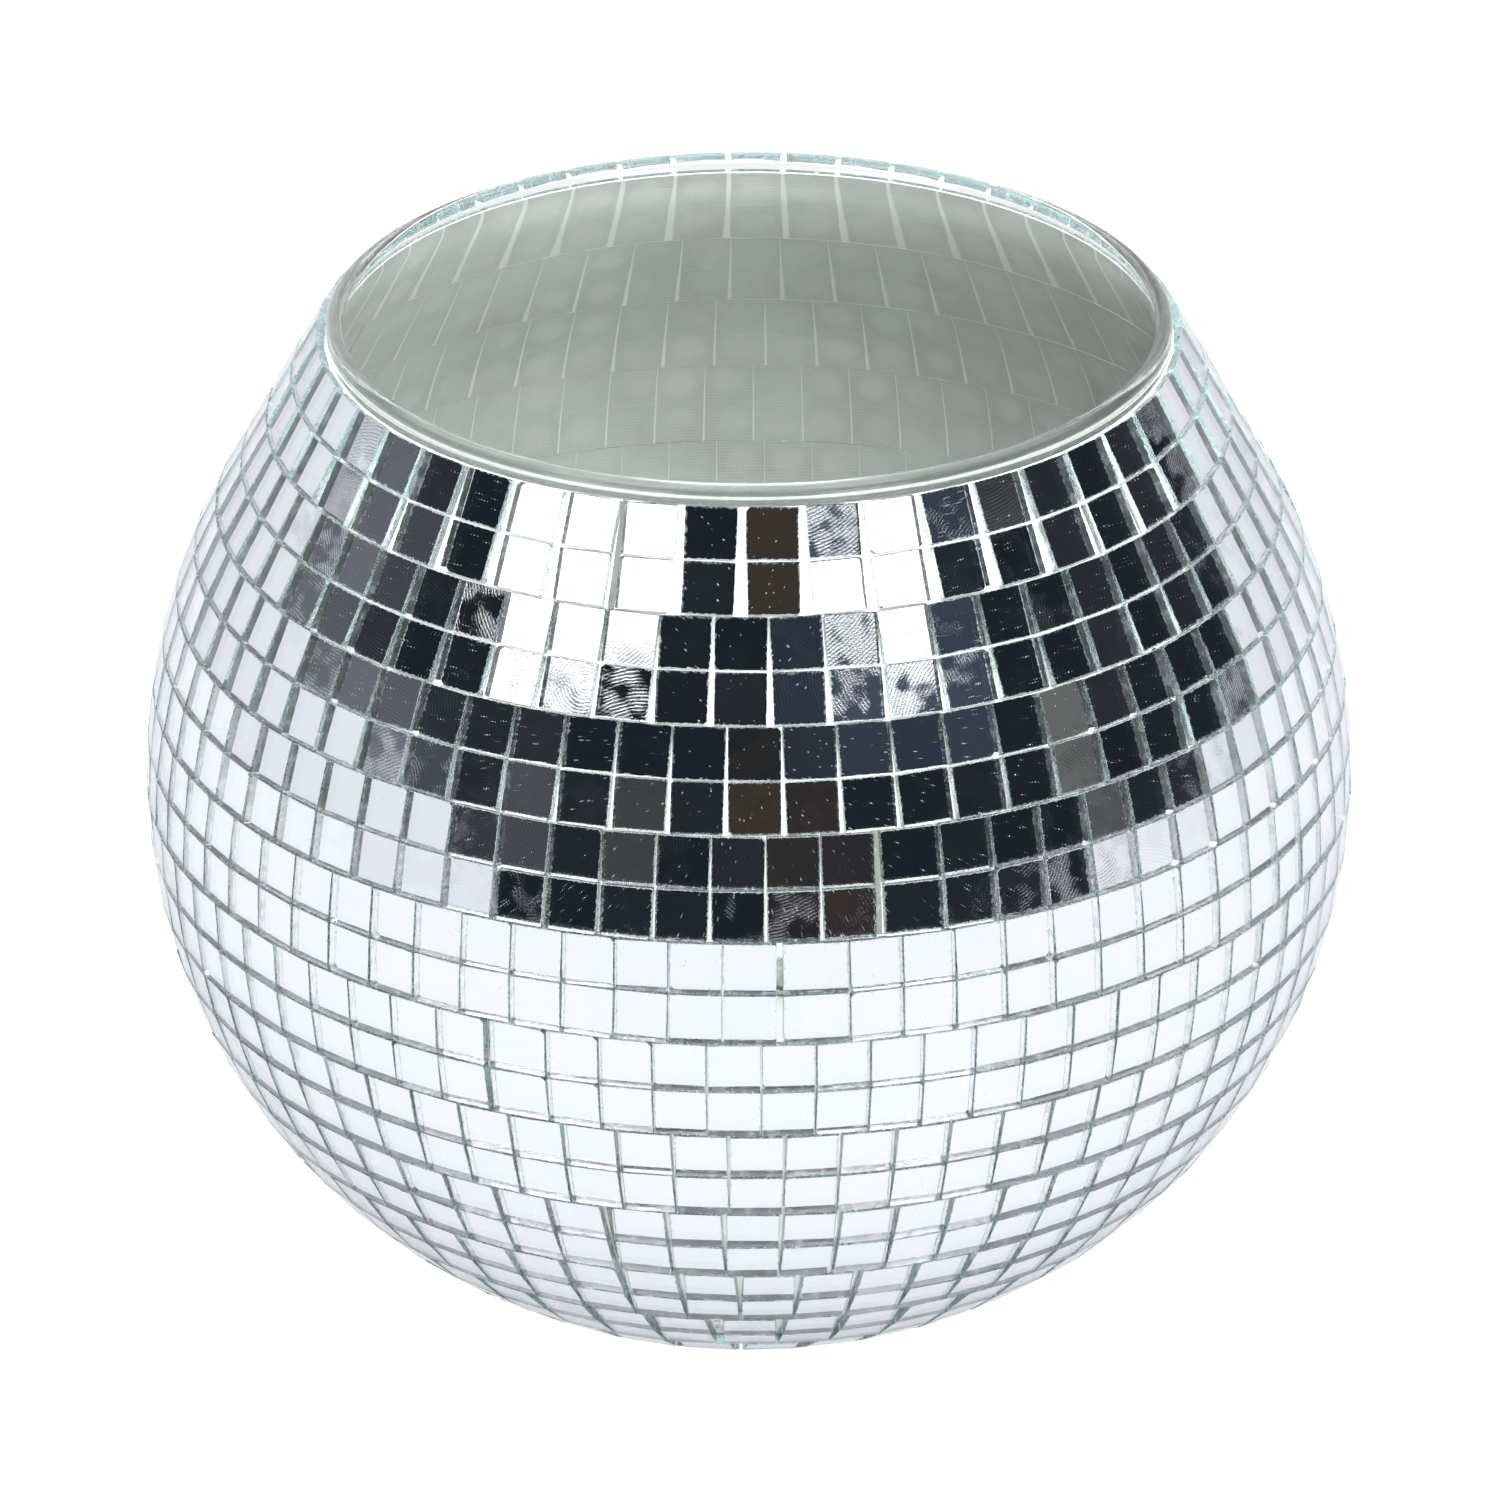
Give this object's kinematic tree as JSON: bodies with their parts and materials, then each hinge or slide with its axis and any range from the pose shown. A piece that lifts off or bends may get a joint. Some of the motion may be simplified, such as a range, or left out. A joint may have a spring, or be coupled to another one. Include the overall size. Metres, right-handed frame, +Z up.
{
  "type": "mirror-tiled glass bowl",
  "caption": "Round clear-glass bowl with a wide open mouth and rounded lip, covered outside in strips of square mirror tiles; a mirror ball made as a planter or vase.",
  "frame": {"origin": "centre of the flat base, on the plane the bowl stands on", "axes": "+Z up through the middle of the mouth; +X to the right and -Y towards the viewer, where a seam in the fifth strip of tiles marks the front"},
  "size_m": [0.2384, 0.2384, 0.2006],
  "materials": {
    "clear_glass": "clear blown glass with a rounded, fire-polished lip and a faint blue-green tint through its thickness",
    "mirror_tile": "square glass tiles silvered on the back, with cut and slightly chipped edges, fine polishing marks and a sage-grey paint behind",
    "mesh_backing": "matt sage-grey paint and dried glue on a fine fibre mesh"
  },
  "bodies": {
    "root": {"glass_bowl": "clear_glass", "strip_mesh_01": "mesh_backing", "strip_mesh_02": "mesh_backing", "strip_mesh_03": "mesh_backing", "strip_mesh_04": "mesh_backing", "strip_mesh_05": "mesh_backing", "strip_mesh_06": "mesh_backing", "strip_mesh_07": "mesh_backing", "strip_mesh_08": "mesh_backing", "strip_mesh_09": "mesh_backing", "strip_mesh_10": "mesh_backing", "strip_mesh_11": "mesh_backing", "tile_row_01": "mirror_tile", "tile_row_02": "mirror_tile", "tile_row_03": "mirror_tile", "tile_row_04": "mirror_tile", "tile_row_05": "mirror_tile", "tile_row_06": "mirror_tile", "tile_row_07": "mirror_tile", "tile_row_08": "mirror_tile", "tile_row_09": "mirror_tile", "tile_row_10": "mirror_tile", "tile_row_11": "mirror_tile", "tile_row_12": "mirror_tile", "tile_row_13": "mirror_tile", "tile_row_14": "mirror_tile", "tile_row_15": "mirror_tile", "tile_row_16": "mirror_tile", "tile_row_17": "mirror_tile", "tile_row_18": "mirror_tile", "tile_row_19": "mirror_tile", "tile_row_20": "mirror_tile", "tile_row_21": "mirror_tile", "tile_row_22": "mirror_tile"}
  },
  "joints": []
}
